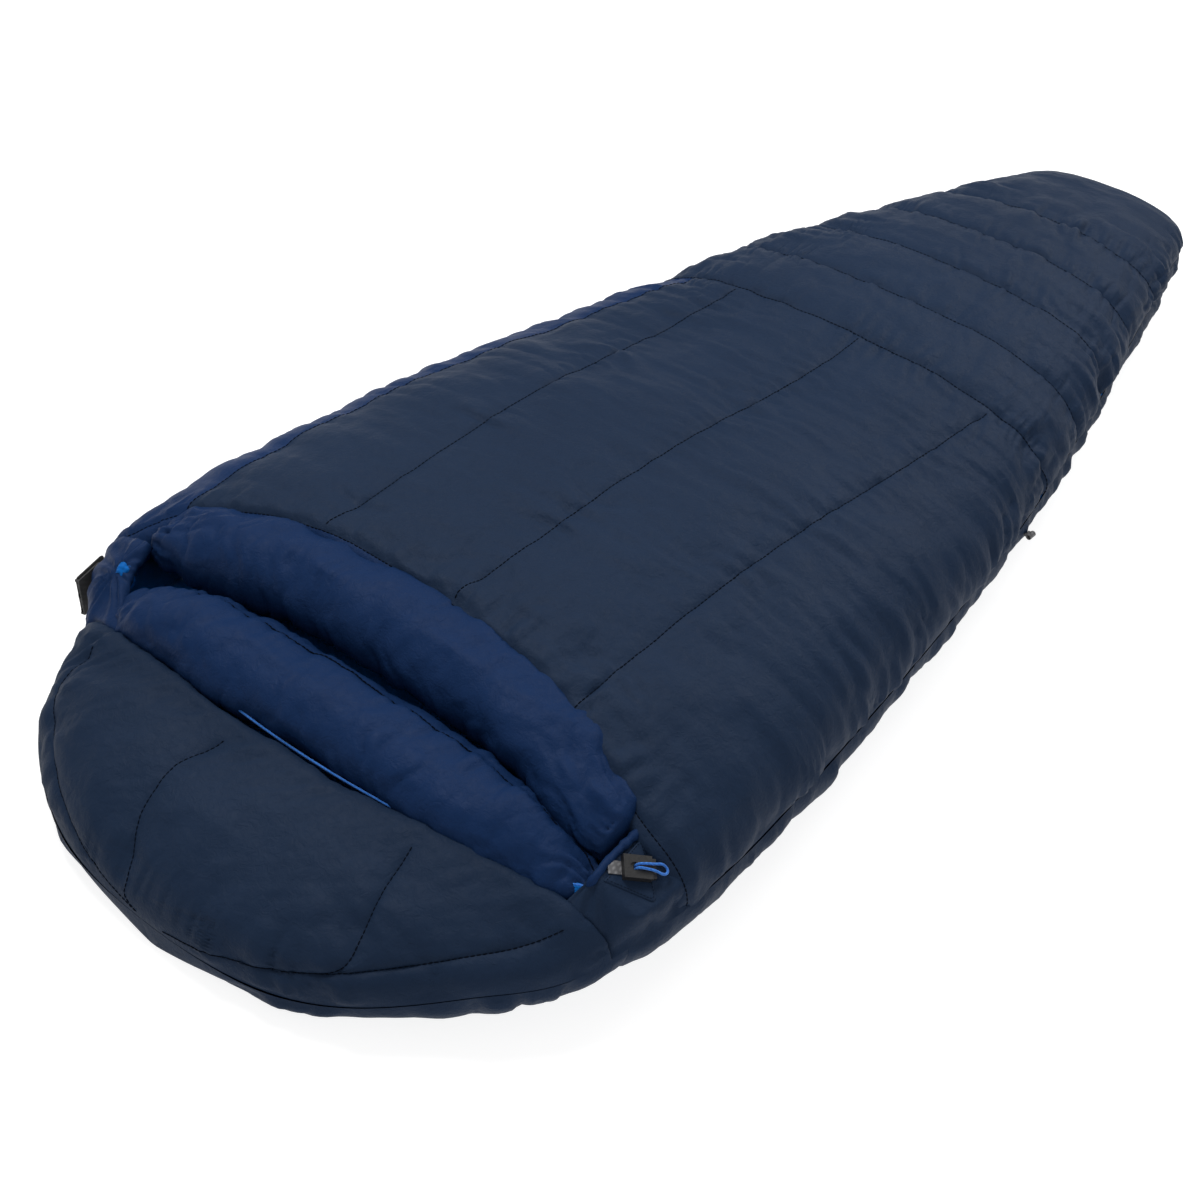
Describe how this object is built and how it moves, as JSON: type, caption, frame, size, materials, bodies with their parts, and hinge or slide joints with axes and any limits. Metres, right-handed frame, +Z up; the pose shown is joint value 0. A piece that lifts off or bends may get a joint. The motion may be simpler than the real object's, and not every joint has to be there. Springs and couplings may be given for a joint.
{
  "type": "sleeping bag",
  "caption": "Down sleeping bag with a tapered cut, hood, down collars, a two-way side zip and a hood cord with a lock, shown closed and lofted, lying flat.",
  "frame": {"origin": "centre of the flat underside, halfway between the crown of the hood and the foot end", "axes": "+Y from the head to the foot, +Z up, +X to the side opposite the zip"},
  "size_m": [0.9872, 2.108, 0.2623],
  "materials": {
    "navy_shell": "fine ripstop-free nylon taffeta with a soft sheen",
    "mid_blue_shell": "fine nylon taffeta, softly shiny",
    "bright_blue_lining": "smooth lining taffeta",
    "baffle_net": "thin baffle fabric",
    "black_webbing": "woven tape",
    "black_plastic": "moulded",
    "slider_metal": "painted zinc",
    "blue_plastic": "moulded",
    "grey_webbing": "woven tape",
    "blue_cord": "braided elastic"
  },
  "bodies": {
    "bag_base": {"underside_panel": "navy_shell", "base_cell_1": "navy_shell", "base_cell_2": "navy_shell", "base_cell_3": "navy_shell", "base_cell_4": "navy_shell", "base_cell_5": "navy_shell", "base_cell_6": "navy_shell", "base_cell_7": "navy_shell", "hood_shell": "navy_shell", "hood_cell_1": "navy_shell", "hood_cell_2": "navy_shell", "hood_cell_3": "navy_shell", "hood_cell_4": "navy_shell", "hood_cell_5": "navy_shell", "neck_side_right": "navy_shell", "cord_patch": "navy_shell", "neck_side_left": "mid_blue_shell", "neck_collar": "mid_blue_shell", "base_lining": "bright_blue_lining", "hood_lining": "bright_blue_lining", "base_baffle_walls": "baffle_net", "hood_baffle_walls": "baffle_net", "zip_tape_base": "black_webbing", "garage_pad": "black_webbing", "zip_chain_base": "black_plastic", "cord_lock_body": "black_plastic", "zip_top_stop": "slider_metal", "zip_bottom_stop": "slider_metal", "cord_lock_webbing": "grey_webbing", "side_loops": "grey_webbing", "hang_loops": "grey_webbing", "hood_drawcord": "blue_cord"},
    "top_quilt": {"top_shell": "navy_shell", "chest_cell_1": "navy_shell", "chest_cell_2": "navy_shell", "chest_cell_3": "navy_shell", "chest_cell_4": "navy_shell", "leg_cell_1": "navy_shell", "leg_cell_2": "navy_shell", "leg_cell_3": "navy_shell", "leg_cell_4": "navy_shell", "leg_cell_5": "navy_shell", "chest_baffle_walls": "baffle_net", "leg_baffle_walls": "baffle_net", "top_lining": "bright_blue_lining", "upper_collar": "mid_blue_shell", "zip_side_panel": "mid_blue_shell", "zip_tape_top": "black_webbing", "zip_chain_top": "black_plastic", "zip_draft_tube": "mid_blue_shell"},
    "upper_slider": {"upper_slider": "slider_metal"},
    "upper_pull": {"upper_pull": "blue_plastic"},
    "upper_inner_pull": {"upper_inner_pull": "slider_metal"},
    "lower_slider": {"lower_slider": "slider_metal"},
    "lower_pull": {"lower_pull": "blue_plastic"},
    "garage_flap": {"garage_flap": "black_webbing"},
    "cord_lock_button": {"cord_lock_button": "black_plastic"}
  },
  "joints": [
    {"name": "top_quilt_open", "type": "hinge", "parent": "bag_base", "child": "top_quilt", "pos_m": [0.403, 0.07, 0.095], "axis": [-0.1772, 0.9842, 0], "range_deg": [0, 115]},
    {"name": "upper_slider_travel", "type": "slide", "parent": "bag_base", "child": "upper_slider", "axis": [0.1483, 0.9889, 0], "range_m": [0, 0.95]},
    {"name": "lower_slider_travel", "type": "slide", "parent": "bag_base", "child": "lower_slider", "axis": [-0.1483, -0.9889, 0], "range_m": [0, 0.13]},
    {"name": "upper_pull_swing", "type": "hinge", "parent": "upper_slider", "child": "upper_pull", "pos_m": [-0.48126, -0.6874, 0.095], "axis": [0, 0, 1], "range_deg": [0, 140]},
    {"name": "upper_inner_pull_swing", "type": "hinge", "parent": "upper_slider", "child": "upper_inner_pull", "pos_m": [-0.47058, -0.689, 0.095], "axis": [0, 0, -1], "range_deg": [0, 110]},
    {"name": "lower_pull_swing", "type": "hinge", "parent": "lower_slider", "child": "lower_pull", "pos_m": [-0.31394, 0.42812, 0.095], "axis": [0, 0, 1], "range_deg": [0, 170]},
    {"name": "garage_flap_open", "type": "hinge", "parent": "bag_base", "child": "garage_flap", "pos_m": [-0.47816, -0.7653, 0.087], "axis": [0, 0, 1], "range_deg": [0, 150]},
    {"name": "cord_lock_press", "type": "slide", "parent": "bag_base", "child": "cord_lock_button", "axis": [-0.5962, -0.7431, 0.3038], "range_m": [0, 0.004], "stiffness_N_per_m": 600}
  ]
}
